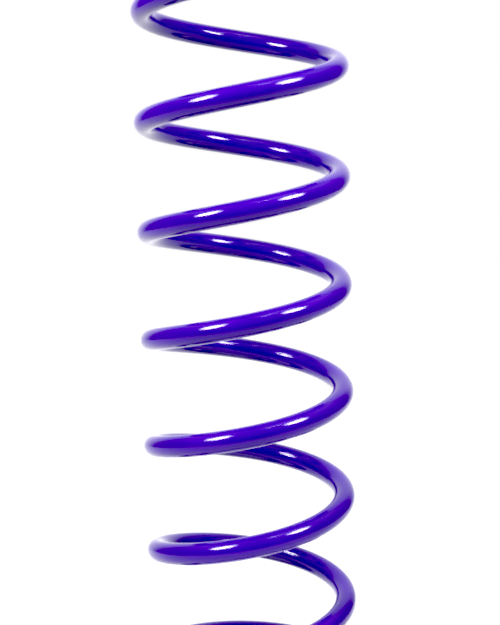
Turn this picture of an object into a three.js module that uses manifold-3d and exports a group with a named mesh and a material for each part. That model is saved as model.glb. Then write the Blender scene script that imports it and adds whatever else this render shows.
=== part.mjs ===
// Coil-over compression spring: one length of round steel wire, coiled right-handed, with
// both ends closed and ground flat. Millimetres, +Z up along the coil's axis, and the origin
// in the middle of the seat plane that the bottom end stands on.
//
// The wire is built as two end coils and the 60-degree arcs between them. Each arc moves by
// its own share of the spring's travel when the spring is squeezed, so each is its own solid.
//
// An angle along the wire is in degrees from the wire's bottom tip, and it goes on counting
// from turn to turn. An azimuth is an angle about +Z, from +X towards +Y.

import * as THREE from "three";
import { mergeVertices } from "three/addons/utils/BufferGeometryUtils.js";
import Module from "manifold-3d";

// Driving dimensions of the spring.
const INSIDE_DIAMETER = 63.5;
const WIRE_DIAMETER = 8.2;
const FREE_LENGTH = 304.8;
const OPEN_PITCH = 40.47; // rise in one turn where the coil is fully open
const CLOSED_ANGLE = 360; // wire in each closed end, before the pitch opens
const OPENING_ANGLE = 244; // wire over which the pitch opens
const GROUND_ANGLE = 270; // wire that each end's grinding reaches
const TIP_AZIMUTH = 18.6; // where the bottom tip lies

// How the wire is divided and drawn.
const GAP = 0.3; // left between surfaces that touch on the real spring
const ARC_ANGLE = 60;
const END_COIL_ANGLE = 420; // least wire in each end coil
const CUT_AZIMUTH = 30; // cuts between the arcs lie here and every arc's angle on
const SIDES = 16;
const RING_STEP = 10; // degrees between the rings of the mesh

const TURN = 360;
const WIRE_RADIUS = WIRE_DIAMETER / 2;
const MEAN_RADIUS = (INSIDE_DIAMETER + WIRE_DIAMETER) / 2;
const CLOSED_PITCH = WIRE_DIAMETER + GAP;
const ARCS_PER_TURN = TURN / ARC_ANGLE;
const GAP_ANGLE = THREE.MathUtils.radToDeg(GAP / MEAN_RADIUS);
const COAT = { color: 0x4a12b8, roughness: 0.12, metalness: 0.0 };

// The angle of fully open wire that would rise as much, beyond the closed pitch, as the
// wire does up to this angle. The pitch opens by smoothstep, whose integral this is.
function openedAngle(angle) {
  const past = angle - CLOSED_ANGLE;
  if (past <= 0) return 0;
  if (past >= OPENING_ANGLE) return past - OPENING_ANGLE / 2;
  const x = past / OPENING_ANGLE;
  return OPENING_ANGLE * (x ** 3 - x ** 4 / 2);
}

// How far the wire's centre has risen above the bottom tip's, in the spring's lower half.
function rise(angle) {
  return (CLOSED_PITCH * angle + (OPEN_PITCH - CLOSED_PITCH) * openedAngle(angle)) / TURN;
}

// Half the wire's angle reaches half the free length, and the two halves are alike.
const HALF_RISE = FREE_LENGTH / 2 - WIRE_RADIUS + rise(GROUND_ANGLE);
const SHORT_OF_OPEN = (OPEN_PITCH - CLOSED_PITCH) * (CLOSED_ANGLE + OPENING_ANGLE / 2);
const WIRE_ANGLE = (2 * (HALF_RISE * TURN + SHORT_OF_OPEN)) / OPEN_PITCH;

// Height of the wire's centre. The wire touches the seat plane where the grinding runs out.
function centreHeight(angle) {
  if (angle > WIRE_ANGLE / 2) return FREE_LENGTH - centreHeight(WIRE_ANGLE - angle);
  return WIRE_RADIUS + rise(angle) - rise(GROUND_ANGLE);
}

function pitchAt(angle) {
  const fromEnd = Math.min(angle, WIRE_ANGLE - angle);
  const opening = THREE.MathUtils.smoothstep(fromEnd, CLOSED_ANGLE, CLOSED_ANGLE + OPENING_ANGLE);
  return CLOSED_PITCH + (OPEN_PITCH - CLOSED_PITCH) * opening;
}

// A sloping wire is taller than its diameter where an upright plane cuts it.
function uprightStretch(angle) {
  return Math.hypot(1, pitchAt(angle) / (TURN * THREE.MathUtils.DEG2RAD * MEAN_RADIUS));
}

// The wire between two angles, with its ends cut by upright planes through the axis. It is
// a straight rod, as long as the wire's angle in degrees, whose rings are carried onto the
// coil. Its own frame has the middle of the wire at azimuth 0 and height 0.
function wireGeometry(from, to) {
  const rings = Math.round((to - from) / RING_STEP);
  const rod = new THREE.CylinderGeometry(WIRE_RADIUS, WIRE_RADIUS, to - from, SIDES, rings);
  const middle = (from + to) / 2;
  const points = rod.getAttribute("position");
  for (let i = 0; i < points.count; i++) {
    const angle = middle + points.getY(i);
    const azimuth = points.getY(i) * THREE.MathUtils.DEG2RAD;
    const radius = MEAN_RADIUS + points.getX(i);
    const across = points.getZ(i) * uprightStretch(angle);
    const height = centreHeight(angle) - centreHeight(middle) + across;
    points.setXYZ(i, radius * Math.cos(azimuth), radius * Math.sin(azimuth), height);
  }
  return rod;
}

function wireMesh(name, from, to) {
  const mesh = new THREE.Mesh(wireGeometry(from, to), new THREE.MeshStandardMaterial(COAT));
  const middle = (from + to) / 2;
  mesh.name = name;
  mesh.rotation.z = (TIP_AZIMUTH + middle) * THREE.MathUtils.DEG2RAD;
  mesh.position.z = centreHeight(middle);
  return mesh;
}

const wasm = await Module();
wasm.setup();

function solidOf(geometry) {
  const bare = geometry.clone();
  bare.deleteAttribute("normal");
  bare.deleteAttribute("uv");
  const merged = mergeVertices(bare);
  const mesh = new wasm.Mesh({
    numProp: 3,
    vertProperties: merged.getAttribute("position").array,
    triVerts: merged.index.array,
  });
  return new wasm.Manifold(mesh);
}

function geometryOf(solid) {
  const { vertProperties, triVerts } = solid.getMesh();
  const geometry = new THREE.BufferGeometry();
  geometry.setAttribute("position", new THREE.BufferAttribute(vertProperties, 3));
  geometry.setIndex(new THREE.BufferAttribute(triVerts, 1));
  geometry.computeVertexNormals();
  return geometry;
}

// Grinds an end coil flat: everything between two heights of the part is taken away.
function grindAway(mesh, low, high) {
  const width = 2 * (INSIDE_DIAMETER + 2 * WIRE_DIAMETER);
  const ground = new THREE.BoxGeometry(width, width, high - low);
  ground.translate(0, 0, (low + high) / 2 - mesh.position.z);
  mesh.geometry = geometryOf(solidOf(mesh.geometry).subtract(solidOf(ground)));
  return mesh;
}

// The first and last cuts are the ones that leave each end coil its least angle or more.
const CUT_START = CUT_AZIMUTH - TIP_AZIMUTH;
const FIRST_CUT_INDEX = Math.ceil((END_COIL_ANGLE - CUT_START) / ARC_ANGLE);
const LAST_CUT_INDEX = Math.floor((WIRE_ANGLE - END_COIL_ANGLE - CUT_START) / ARC_ANGLE);
const ARC_COUNT = LAST_CUT_INDEX - FIRST_CUT_INDEX;
const FIRST_CUT = CUT_START + FIRST_CUT_INDEX * ARC_ANGLE;
const LAST_CUT = CUT_START + LAST_CUT_INDEX * ARC_ANGLE;

function bottomEndCoil() {
  const coil = wireMesh("bottom_end_coil", 0, FIRST_CUT - GAP_ANGLE / 2);
  return grindAway(coil, -2 * WIRE_DIAMETER, 0);
}

function topEndCoil() {
  const coil = wireMesh("top_end_coil", LAST_CUT + GAP_ANGLE / 2, WIRE_ANGLE);
  return grindAway(coil, FREE_LENGTH, FREE_LENGTH + 2 * WIRE_DIAMETER);
}

function arc(index) {
  const coilNumber = Math.floor(index / ARCS_PER_TURN) + 1;
  const arcNumber = (index % ARCS_PER_TURN) + 1;
  const start = FIRST_CUT + index * ARC_ANGLE;
  const name = `coil_${coilNumber}_arc_${arcNumber}`;
  return wireMesh(name, start + GAP_ANGLE / 2, start + ARC_ANGLE - GAP_ANGLE / 2);
}

const spring = new THREE.Group();
spring.add(bottomEndCoil());
for (let index = 0; index < ARC_COUNT; index++) spring.add(arc(index));
spring.add(topEndCoil());

export default spring;
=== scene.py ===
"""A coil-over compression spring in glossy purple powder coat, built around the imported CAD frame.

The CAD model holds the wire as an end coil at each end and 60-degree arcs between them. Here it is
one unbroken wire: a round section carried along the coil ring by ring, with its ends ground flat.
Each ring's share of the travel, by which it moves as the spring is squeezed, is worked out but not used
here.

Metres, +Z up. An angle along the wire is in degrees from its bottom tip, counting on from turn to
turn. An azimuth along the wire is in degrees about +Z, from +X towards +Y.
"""

import math

import bmesh
import bpy
import numpy as np
from mathutils import Matrix, Vector


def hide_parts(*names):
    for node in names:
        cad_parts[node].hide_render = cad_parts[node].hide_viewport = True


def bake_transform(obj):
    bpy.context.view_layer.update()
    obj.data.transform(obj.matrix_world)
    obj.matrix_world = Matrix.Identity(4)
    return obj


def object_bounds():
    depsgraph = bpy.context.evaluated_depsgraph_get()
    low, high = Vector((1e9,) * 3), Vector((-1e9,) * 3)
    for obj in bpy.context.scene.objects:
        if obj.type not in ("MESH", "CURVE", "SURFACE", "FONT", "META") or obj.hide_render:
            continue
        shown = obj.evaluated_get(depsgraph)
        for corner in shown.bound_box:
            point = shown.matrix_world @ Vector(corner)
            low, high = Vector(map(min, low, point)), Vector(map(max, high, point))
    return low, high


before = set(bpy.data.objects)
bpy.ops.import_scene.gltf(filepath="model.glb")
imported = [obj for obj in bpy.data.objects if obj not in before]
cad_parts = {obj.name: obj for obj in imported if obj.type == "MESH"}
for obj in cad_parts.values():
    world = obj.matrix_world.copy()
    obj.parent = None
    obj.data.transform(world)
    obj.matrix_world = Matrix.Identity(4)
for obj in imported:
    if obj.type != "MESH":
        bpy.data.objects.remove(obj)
CAD_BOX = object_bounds()

MM = 0.001
TURN = 360.0

# The spring, as in the CAD model. Its length is taken from the frame.
FREE_LENGTH = CAD_BOX[1].z - CAD_BOX[0].z
BORE_RADIUS = 63.5 / 2 * MM
WIRE_RADIUS = 4.1 * MM
MEAN_RADIUS = BORE_RADIUS + WIRE_RADIUS
OPEN_PITCH = 40.47 * MM
CLOSED_PITCH = 8.5 * MM
CLOSED_ANGLE = 360.0  # of wire at each end, wound at the closed pitch
OPENING_ANGLE = 244.0  # of wire after that, in which the pitch opens
GROUND_ANGLE = 270.0  # of wire at each end, ground flat
TIP_AZIMUTH = 18.6  # of the bottom tip

# The mesh: how many points a ring has, and how they share the ground flat and its two soft edges.
RING_POINTS = 48
FLAT_HALF_POINTS = 6  # from the middle of the flat to its edge
EDGE_POINTS = 5  # round each soft edge
RING_STEP = 2.0
EDGE_RADIUS = 0.5 * MM
LEAST_EDGE_ANGLE = 8.0  # where the flat would be narrower than this, the wire is drawn round
SPREAD_ANGLE = 50.0  # of wire past the flat, in which the ring's points even out again
RIM_INSET = 0.98 * EDGE_RADIUS  # of the tip's end face from the wire's outline
RIM_STEPS = 5  # rings round the soft rim of the tip
TIP_CAP_RINGS = 3
SEAT_TOLERANCE = 0.001 * MM


def opened_angle(angle):
    """How much fully open wire rises, beyond the closed pitch, by as much as the wire up to here."""
    past = angle - CLOSED_ANGLE
    if past <= 0:
        return 0.0
    if past >= OPENING_ANGLE:
        return past - OPENING_ANGLE / 2
    x = past / OPENING_ANGLE
    return OPENING_ANGLE * (x**3 - x**4 / 2)


def rise(angle):
    return (CLOSED_PITCH * angle + (OPEN_PITCH - CLOSED_PITCH) * opened_angle(angle)) / TURN


HALF_RISE = FREE_LENGTH / 2 - WIRE_RADIUS + rise(GROUND_ANGLE)
SHORT_OF_OPEN = (OPEN_PITCH - CLOSED_PITCH) * (CLOSED_ANGLE + OPENING_ANGLE / 2)
WIRE_ANGLE = 2 * (HALF_RISE * TURN + SHORT_OF_OPEN) / OPEN_PITCH
ALONG_WIRE = 2 * math.pi * MEAN_RADIUS / TURN  # metres of wire in a degree


def centre_height(angle):
    """Height of the wire's centre, in the spring's lower half."""
    return WIRE_RADIUS + rise(angle) - rise(GROUND_ANGLE)


def smooth(x):
    x = min(max(x, 0.0), 1.0)
    return x * x * (3 - 2 * x)


def upright_stretch(angle):
    """How much taller the wire is in an upright cut than straight across, in the lower half."""
    pitch = CLOSED_PITCH + (OPEN_PITCH - CLOSED_PITCH) * smooth((angle - CLOSED_ANGLE) / OPENING_ANGLE)
    return math.hypot(1, pitch / (2 * math.pi * MEAN_RADIUS))


def travel_share(angle):
    """The share of the spring's travel that the wire at this angle moves by."""
    both_halves = 2 * opened_angle(WIRE_ANGLE / 2)
    if angle > WIRE_ANGLE / 2:
        return 1 - opened_angle(WIRE_ANGLE - angle) / both_halves
    return opened_angle(angle) / both_halves


def section(angle, inset=0.0):
    """Points round the wire, in the spring's lower half, as (outwards, up) from the wire's centre.
    They start from the bottom and go round by the outer side. The seat plane cuts the bottom off
    flat, with soft edges. An inset makes the outline smaller all round."""
    half = RING_POINTS // 2
    corner = FLAT_HALF_POINTS + EDGE_POINTS
    radius, edge = WIRE_RADIUS - inset, EDGE_RADIUS - inset
    height = centre_height(angle) - inset
    edge_cosine = (height - edge) / (radius - edge)
    ground = edge_cosine < math.cos(math.radians(LEAST_EDGE_ANGLE))
    if ground:
        edge_angle = math.degrees(math.acos(edge_cosine))
        flat_half = (radius - edge) * math.sin(math.radians(edge_angle))
    else:
        spread = smooth((angle - GROUND_ANGLE) / SPREAD_ANGLE)
        edge_angle = LEAST_EDGE_ANGLE + (corner * TURN / RING_POINTS - LEAST_EDGE_ANGLE) * spread
    points = []
    for k in range(half + 1):
        if ground and k <= FLAT_HALF_POINTS:
            points.append((flat_half * k / FLAT_HALF_POINTS, -height))
            continue
        if ground and k < corner:
            turned = math.radians(edge_angle * (k - FLAT_HALF_POINTS) / EDGE_POINTS)
            points.append((flat_half + edge * math.sin(turned), edge - height - edge * math.cos(turned)))
            continue
        if k < corner:
            turned = math.radians(edge_angle * k / corner)
        else:
            turned = math.radians(edge_angle + (180 - edge_angle) * (k - corner) / (half - corner))
        stretch = 1.0 if ground else upright_stretch(angle)
        up = -radius * math.cos(turned) * stretch
        points.append((radius * math.sin(turned), max(up, -height)))
    return points + [(-out, up) for out, up in points[-2:0:-1]]


def tip_rings():
    """(angle, section) of each ring over the tip's flat end face and round its soft rim."""
    rim = section(0, RIM_INSET)
    middle = sum(up for out, up in rim) / len(rim)
    rings = []
    for ring in range(1, TIP_CAP_RINGS):
        share = ring / TIP_CAP_RINGS
        rings.append((0.0, [(out * share, middle + (up - middle) * share) for out, up in rim]))
    for step in range(RIM_STEPS):
        turned = math.pi / 2 * step / RIM_STEPS
        angle = EDGE_RADIUS * (1 - math.cos(turned)) / ALONG_WIRE
        rings.append((angle, section(angle, RIM_INSET * (1 - math.sin(turned)))))
    return rings


def half_rings():
    """(angle, section) of each ring from the bottom tip to the wire's middle."""
    start = EDGE_RADIUS / ALONG_WIRE
    count = round((WIRE_ANGLE / 2 - start) / RING_STEP)
    angles = [start + (WIRE_ANGLE / 2 - start) * k / count for k in range(count + 1)]
    return tip_rings() + [(angle, section(angle)) for angle in angles]


def upper_half(rings):
    """The same rings turned over for the spring's upper half, from the wire's middle to its top tip."""
    over = []
    for angle, points in reversed(rings[:-1]):
        turned = [(out, -up) for out, up in points]
        half = RING_POINTS // 2
        over.append((WIRE_ANGLE - angle, [turned[(half - k) % RING_POINTS] for k in range(RING_POINTS)]))
    return over


def wire_mesh(rings):
    """The wire as a closed mesh of quads, with a fan of triangles at the middle of each end face.
    Each point keeps its place along and across the wire. Its share of the travel is returned beside the
    mesh."""
    points, places, shares = [], [], []

    def add(angle, out, up):
        lower = min(angle, WIRE_ANGLE - angle)
        height = centre_height(lower) if angle == lower else FREE_LENGTH - centre_height(lower)
        azimuth = math.radians(TIP_AZIMUTH + angle)
        radius = MEAN_RADIUS + out
        points.append((radius * math.cos(azimuth), radius * math.sin(azimuth), height + up))
        places.append((angle * ALONG_WIRE, out, up))
        shares.append(travel_share(angle))

    for angle, outline in rings:
        for out, up in outline:
            add(angle, out, up)
    faces = []
    for ring in range(len(rings) - 1):
        for k in range(RING_POINTS):
            here, beside = ring * RING_POINTS + k, ring * RING_POINTS + (k + 1) % RING_POINTS
            faces.append((here, here + RING_POINTS, beside + RING_POINTS, beside))
    for ring, way in ((0, 1), (len(rings) - 1, -1)):
        angle, outline = rings[ring]
        middle = len(points)
        add(angle, 0.0, sum(up for out, up in outline) / RING_POINTS)
        first = ring * RING_POINTS
        for k in range(RING_POINTS):
            pair = (first + k, first + (k + 1) % RING_POINTS)
            faces.append((middle, *pair[::way]))
    mesh = bpy.data.meshes.new("spring_wire")
    mesh.from_pydata(points, [], faces)
    mesh.polygons.foreach_set("use_smooth", [True] * len(faces))
    place = mesh.attributes.new("wire_place", "FLOAT_VECTOR", "POINT")
    place.data.foreach_set("vector", np.array(places, np.float32).ravel())
    return mesh, shares


def on_a_seat(mesh, polygon):
    """Whether a face lies in the plane of a ground end."""
    heights = [mesh.vertices[v].co.z for v in polygon.vertices]
    return max(heights) < SEAT_TOLERANCE or min(heights) > FREE_LENGTH - SEAT_TOLERANCE


# --- Materials -------------------------------------------------------------------------------


def new_material(name):
    material = bpy.data.materials.new(name)
    material.use_nodes = True
    return material


def shader_parts(material):
    """A material's node tree, its Principled shader and a function that adds nodes to the tree.
    That function sets a node's sockets and settings by name, with _ for a space, and links others."""
    tree = material.node_tree

    def add(kind, links=(), **values):
        made = tree.nodes.new("ShaderNode" + kind)
        for key, value in values.items():
            socket = key.replace("_", " ")
            if socket in made.inputs:
                made.inputs[socket].default_value = value
            else:
                setattr(made, key, value)
        for socket, source in dict(links).items():
            tree.links.new(source, made.inputs[socket])
        return made

    return tree, tree.nodes["Principled BSDF"], add


PURPLE = (0.073, 0.003, 0.43)
COAT_IOR = 1.5
FILM_SHADES = (0.93, 1.06)  # of the colour, where the film is at its deepest and its palest
FILM_RANGE = (0.3, 0.7)  # of the noise, between the deepest and the palest film
COAT_ROUGHNESS = (0.07, 0.12)
GROUND_ROUGHNESS = (0.12, 0.18)
PEEL_DEPTH = 0.005 * MM
LAY_DEPTH = 0.01 * MM
ACROSS_THE_LAY = (1.0, 40.0, 1.0)  # the grinding marks are this many times finer across than along


def coat_colour(add, film):
    """The purple, deeper or paler with the film's thickness."""
    tint = add("ValToRGB", {"Fac": film})
    for element, at, shade in zip(tint.color_ramp.elements, FILM_RANGE, FILM_SHADES):
        element.position = at
        element.color = (PURPLE[0] * shade**2, PURPLE[1], PURPLE[2] * shade, 1)
    return tint.outputs["Color"]


def grinding_marks(add, normal):
    """The lay of the grinding under the coat, on top of the coat's own waves."""
    along = add("Mapping", {"Vector": add("TexCoord").outputs["Object"]}, Scale=ACROSS_THE_LAY)
    lay = add("TexNoise", {"Vector": along.outputs["Vector"]}, Scale=60.0, Detail=4.0)
    marks = add("Bump", {"Height": lay.outputs["Fac"], "Normal": normal}, Distance=LAY_DEPTH)
    return marks.outputs["Normal"]


def powder_coat(name, roughness, ground=False):
    """Glossy purple powder coat: a film that varies a little in depth of colour and in gloss, with
    the low waves of orange peel. Over a ground end it also shows the lay of the grinding."""
    material = new_material(name)
    tree, shader, add = shader_parts(material)
    place = add("Attribute", attribute_name="wire_place").outputs["Vector"]
    film = add("TexNoise", {"Vector": place}, Scale=70.0, Detail=3.0).outputs["Fac"]
    gloss = add(
        "MapRange",
        {"Value": film},
        From_Min=FILM_RANGE[0],
        From_Max=FILM_RANGE[1],
        To_Min=roughness[0],
        To_Max=roughness[1],
    )
    peel = add("TexNoise", {"Vector": place}, Scale=350.0, Detail=1.0)
    waves = add("Bump", {"Height": peel.outputs["Fac"]}, Distance=PEEL_DEPTH, Strength=1.0)
    normal = waves.outputs["Normal"]
    if ground:
        normal = grinding_marks(add, normal)
    tree.links.new(coat_colour(add, film), shader.inputs["Base Color"])
    tree.links.new(gloss.outputs["Result"], shader.inputs["Roughness"])
    tree.links.new(normal, shader.inputs["Normal"])
    shader.inputs["IOR"].default_value = COAT_IOR
    return material


# --- The piece -------------------------------------------------------------------------------

lower = half_rings()
mesh, shares = wire_mesh(lower + upper_half(lower))
wire = bpy.data.objects.new("spring_wire", mesh)
bpy.context.scene.collection.objects.link(wire)
mesh.materials.append(powder_coat("powder_coat", COAT_ROUGHNESS))
mesh.materials.append(powder_coat("powder_coat_on_ground_end", GROUND_ROUGHNESS, ground=True))
for polygon in mesh.polygons:
    polygon.material_index = int(on_a_seat(mesh, polygon))
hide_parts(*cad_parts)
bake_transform(wire)


# --- Studio ----------------------------------------------------------------------------------
# The lamps light only the matt part of the coat. What its gloss reflects is a stage of glowing
# cards and a dim room, which nothing else sees. A radiance of 1 is what the picture shows as white.

MIDDLE = Vector((0, 0, FREE_LENGTH / 2))
UP = Vector((0, 0, 1))


def from_middle(azimuth, elevation, distance):
    """A place seen from the spring's middle. Azimuth 0 is the photograph's side, and 90 is +X."""
    a, e = math.radians(azimuth), math.radians(elevation)
    way = Vector((math.sin(a) * math.cos(e), -math.cos(a) * math.cos(e), math.sin(e)))
    return MIDDLE + way * distance


def facing(place, target):
    return (target - place).to_track_quat("-Z", "Y").to_euler()


def soft_light(name, place, target, radiance, width, height):
    """An oval lamp for the matt part of the coat."""
    light = bpy.data.lights.new(name, "AREA")
    light.shape = "ELLIPSE"
    light.size = width
    light.size_y = height
    area = math.pi / 4 * width * height
    light.energy = radiance * math.pi * area
    lamp = bpy.data.objects.new(name, light)
    bpy.context.scene.collection.objects.link(lamp)
    lamp.location = place
    lamp.rotation_euler = facing(place, target)
    lamp.visible_camera = False
    lamp.visible_glossy = False


def glowing(name, radiance, albedo=0.0):
    """A white material that gives off light, and scatters back a share of what falls on it."""
    material = new_material(name)
    shader = material.node_tree.nodes["Principled BSDF"]
    shader.inputs["Base Color"].default_value = (albedo, albedo, albedo, 1)
    shader.inputs["Specular IOR Level"].default_value = 0.0
    shader.inputs["Roughness"].default_value = 1.0
    shader.inputs["Emission Color"].default_value = (1, 1, 1, 1)
    shader.inputs["Emission Strength"].default_value = radiance
    material.cycles.emission_sampling = "NONE"
    return material


def fading_glow(name, middle, edge, reach, edge_share=1.0, albedo=0.0):
    """A glow that goes from one radiance at the object's origin to another at an oval of this
    reach. The change takes place over the outer share of the way."""
    material = glowing(name, middle, albedo)
    tree, shader, add = shader_parts(material)
    shrink = (1 / reach[0], 1 / reach[1], 1)
    scaled = add("Mapping", {"Vector": add("TexCoord").outputs["Object"]}, Scale=shrink)
    inward = add("TexGradient", {"Vector": scaled.outputs["Vector"]}, gradient_type="SPHERICAL")
    level = add(
        "MapRange",
        {"Value": inward.outputs["Fac"]},
        interpolation_type="SMOOTHSTEP",
        From_Max=edge_share,
        To_Min=edge,
        To_Max=middle,
    )
    tree.links.new(level.outputs["Result"], shader.inputs["Emission Strength"])
    return material


CLEAR_BELOW = 0.4  # about the radiance of the room's sides


def clear_outside(material):
    """Lets the room behind show through where a fading glow is weaker than it."""
    tree, shader, add = shader_parts(material)
    level = shader.inputs["Emission Strength"].links[0].from_socket
    solid = add("Math", {0: level}, operation="GREATER_THAN")
    solid.inputs[1].default_value = CLEAR_BELOW
    tree.links.new(solid.outputs["Value"], shader.inputs["Alpha"])


def staged(name, mesh, material, seen_by):
    """An object of the stage that only the camera sees, or only the gloss."""
    mesh.materials.append(material)
    made = bpy.data.objects.new(name, mesh)
    bpy.context.scene.collection.objects.link(made)
    made.visible_camera = seen_by == "camera"
    made.visible_glossy = seen_by == "gloss"
    made.visible_diffuse = False
    made.visible_shadow = False
    return made


def flat_card(name, low, high, height=0.0):
    """A level rectangle between two corners, (x, y) each."""
    corners = [(low[0], low[1]), (high[0], low[1]), (high[0], high[1]), (low[0], high[1])]
    mesh = bpy.data.meshes.new(name)
    mesh.from_pydata([(x, y, height) for x, y in corners], [], [(0, 1, 2, 3)])
    return mesh


def in_the_gloss(name, place, radiance, width, height, edge_share):
    """A soft-edged bright oval, facing the spring's middle, that only the coat's gloss reflects."""
    material = fading_glow(name, radiance, 0.0, (width / 2, height / 2), edge_share)
    clear_outside(material)
    mesh = flat_card(name, (-width / 2, -height / 2), (width / 2, height / 2))
    oval = staged(name, mesh, material, "gloss")
    oval.location = place
    oval.rotation_euler = facing(place, MIDDLE)


FLOOR_Z = -0.2 * MM  # just under the bottom seat


def floor():
    """A pale floor with a painted shadow close round the spring's foot, and a brighter card for the
    gloss.
    """
    # The floor glows less close round the spring's foot: a painted shadow. The share it scatters back
    # also shows the lamps' real shadows.
    material = fading_glow("pale_floor_painted_shadow", 0.5, 1.0, (0.1, 0.09), albedo=0.3)
    staged("floor", flat_card("floor", (-8, -8), (8, 8), FLOOR_Z), material, "camera")
    name = "floor_in_the_gloss"
    material = fading_glow("white_card", 2.1, 1.5, (0.9, 0.6))
    staged(name, flat_card(name, (-0.64, -0.33), (0.56, 1.4), FLOOR_Z), material, "gloss")


def backdrop():
    """An upright white card behind the spring, which fades out to its left and right."""
    half_width, half_height = 2.2, 20.0  # it doesn't fade upwards, within its height
    material = fading_glow("backdrop", 1.45, 0.0, (half_width, half_height), 0.65)
    clear_outside(material)
    mesh = flat_card("backdrop", (-half_width, -0.9), (half_width, 2.0))
    card = staged("backdrop", mesh, material, "gloss")
    card.location = (-0.15, 1.4, 0.2)
    card.rotation_euler = (math.pi / 2, 0, 0)


# The room's radiance by the height of the way to it, from -1 (down) to 1 (up).
FRONT_RADIANCE = ((-0.3, 0.3), (-0.17, 0.03), (0.0, 0.03), (0.34, 0.3), (0.6, 0.55), (0.9, 0.8))
SIDE_RADIANCE = ((0.34, 0.4), (0.5, 0.5), (0.64, 0.9), (0.77, 1.4), (0.9, 1.4))
RAMP_TOP = 2.0  # the radiance that a ramp's white stands for
FRONT_TO_SIDE = (0.4, 0.95)  # how far the way points left or right, from front or back to side
ROOM_RADIUS = 4.0


def radiance_ramp(add, height, stops):
    """A curve through (height, radiance) stops, as a colour ramp."""
    where = add("MapRange", {"Value": height}, From_Min=-1.0)
    curve = add("ValToRGB", {"Fac": where.outputs["Result"]})
    elements = curve.color_ramp.elements
    elements[1].position = (stops[-1][0] + 1) / 2
    elements[0].position = (stops[0][0] + 1) / 2
    for at, radiance in stops[1:-1]:
        elements.new((at + 1) / 2)
    for element, (at, radiance) in zip(elements, stops):
        grey = radiance / RAMP_TOP
        element.color = (grey, grey, grey, 1)
    return curve.outputs["Color"]


def room_material():
    """A dim room: dark in front and behind, lighter at the sides and lightest high up there."""
    material = glowing("dim_surround", RAMP_TOP)
    tree, shader, add = shader_parts(material)
    way = add("VectorMath", {0: add("TexCoord").outputs["Object"]}, operation="NORMALIZE")
    height = add("SeparateXYZ", {"Vector": way.outputs["Vector"]}).outputs["Z"]
    flattened = add("VectorMath", {0: way.outputs["Vector"]}, operation="MULTIPLY")
    flattened.inputs[1].default_value = (1, 1, 0)
    level_way = add("VectorMath", {0: flattened.outputs["Vector"]}, operation="NORMALIZE")
    across = add("SeparateXYZ", {"Vector": level_way.outputs["Vector"]}).outputs["X"]
    either_side = add("Math", {0: across}, operation="ABSOLUTE")
    side_share = add(
        "MapRange",
        {"Value": either_side.outputs["Value"]},
        interpolation_type="SMOOTHSTEP",
        From_Min=FRONT_TO_SIDE[0],
        From_Max=FRONT_TO_SIDE[1],
    )
    mixed = add("Mix", data_type="RGBA")
    tree.links.new(side_share.outputs["Result"], mixed.inputs["Factor"])
    tree.links.new(radiance_ramp(add, height, FRONT_RADIANCE), mixed.inputs["A"])
    tree.links.new(radiance_ramp(add, height, SIDE_RADIANCE), mixed.inputs["B"])
    tree.links.new(mixed.outputs["Result"], shader.inputs["Emission Color"])
    return material


def room():
    """The room, as a large sphere about the spring's middle."""
    mesh = bpy.data.meshes.new("surround")
    build = bmesh.new()
    bmesh.ops.create_uvsphere(build, u_segments=32, v_segments=16, radius=ROOM_RADIUS)
    build.to_mesh(mesh)
    build.free()
    staged("surround", mesh, room_material(), "gloss").location = MIDDLE


KEY_GLOSS_RADIANCE = 36.0
KEY_EDGE_SHARE = 0.6
KEY_TALLNESS = 1.115  # height over width
KEY_LAMP_DISTANCE = 0.55
KEY_LAMP_WIDTH = 0.3
KEY_LAMP_HEIGHT = 0.334
KEYS = (
    # side, azimuth, elevation, distance and width of its reflection, radiance of its lamp
    ("left", -49.8, 37.5, 0.62, 0.33, 12.1),
    ("right", 50.6, 43.5, 0.52, 0.272, 11.1),
)


def keys():
    """The two key lights, high to the left and right, each as a lamp and as its reflection."""
    for side, azimuth, elevation, distance, width, radiance in KEYS:
        name, place = "key_gloss_" + side, from_middle(azimuth, elevation, distance)
        height = width * KEY_TALLNESS
        in_the_gloss(name, place, KEY_GLOSS_RADIANCE, width, height, KEY_EDGE_SHARE)
        name, place = "key_" + side, from_middle(azimuth, elevation, KEY_LAMP_DISTANCE)
        soft_light(name, place, MIDDLE, radiance, KEY_LAMP_WIDTH, KEY_LAMP_HEIGHT)


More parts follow.
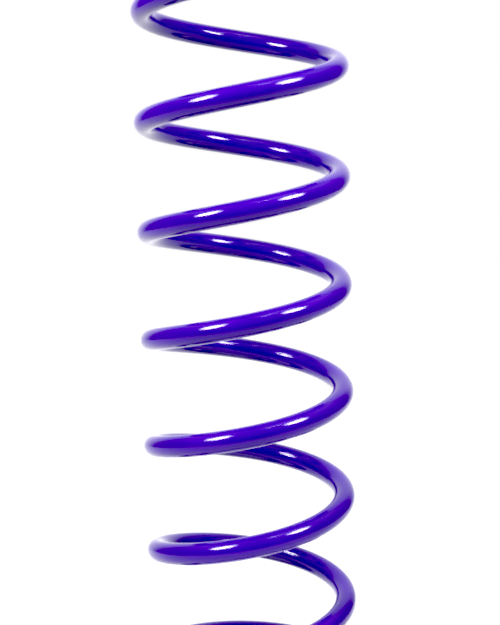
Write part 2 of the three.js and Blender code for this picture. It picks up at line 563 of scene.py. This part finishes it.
def fills():
    """Weaker lights: from the sides and behind, and up from the floor. Overhead, a wide pale
    reflection and the thin bright one beside the right key's."""
    soft_light("side_fill_left", from_middle(-90, 5, 0.9), MIDDLE, 5.3, 0.3, 0.3)
    soft_light("side_fill_right", from_middle(90, 15, 0.9), MIDDLE, 4.8, 0.3, 0.3)
    in_the_gloss("overhead", from_middle(50, 80, 1.2), 2.25, 1.0, 1.0, 0.5)
    in_the_gloss("strip", from_middle(18, 64, 0.95), 80.0, 0.34, 0.024, 1.0)
    soft_light("back_fill", from_middle(180, 30, 1.3), MIDDLE, 2.0, 0.8, 0.8)
    behind, before = Vector((0, 0.15, 0)), Vector((0, -0.18, 0))
    soft_light("bounce", behind, behind + UP, 0.33, 2.0, 2.0)
    soft_light("front_bounce", before, before + UP, 1.1, 0.26, 0.26)


def white_world():
    """White behind everything, for the camera only."""
    world = bpy.data.worlds.new("white")
    world.use_nodes = True
    world.node_tree.nodes["Background"].inputs["Color"].default_value = (1, 1, 1, 1)
    world.cycles_visibility.diffuse = False
    world.cycles_visibility.glossy = False
    bpy.context.scene.world = world


floor()
backdrop()
room()
keys()
fills()
white_world()


# --- The picture's look ----------------------------------------------------------------------

# As soft as the photograph, and with no speckle from one strand's gloss lighting the next or from
# the keys' brightest samples.
cycles = bpy.context.scene.cycles
cycles.filter_width = 2.0
cycles.caustics_reflective = False
cycles.sample_clamp_direct = 8.0

# Plain tones, with dark ones pressed down to black as in the photograph.
BLACK_LEVEL = 0.066
look = bpy.context.scene.view_settings
look.view_transform = "Standard"
look.use_curve_mapping = True
look.curve_mapping.black_level = (BLACK_LEVEL, BLACK_LEVEL, BLACK_LEVEL)
look.curve_mapping.update()


# --- Camera ----------------------------------------------------------------------------------

CAMERA_PLACE = Vector((0.0015, -0.6153, 0.2307))
LOOKING_DOWN = 7.958  # degrees
ROLL = -1.277  # degrees
LENS = 95.25  # mm, for a picture whose longer side is 36 mm
camera_data = bpy.data.cameras.new("camera")
camera_data.lens = LENS
camera_data.sensor_width = 36.0
camera = bpy.data.objects.new("camera", camera_data)
bpy.context.scene.collection.objects.link(camera)
upright = Matrix.Rotation(math.radians(90 - LOOKING_DOWN), 4, "X")
roll = Matrix.Rotation(math.radians(ROLL), 4, "Z")
camera.matrix_world = Matrix.Translation(CAMERA_PLACE) @ upright @ roll
bpy.context.scene.camera = camera
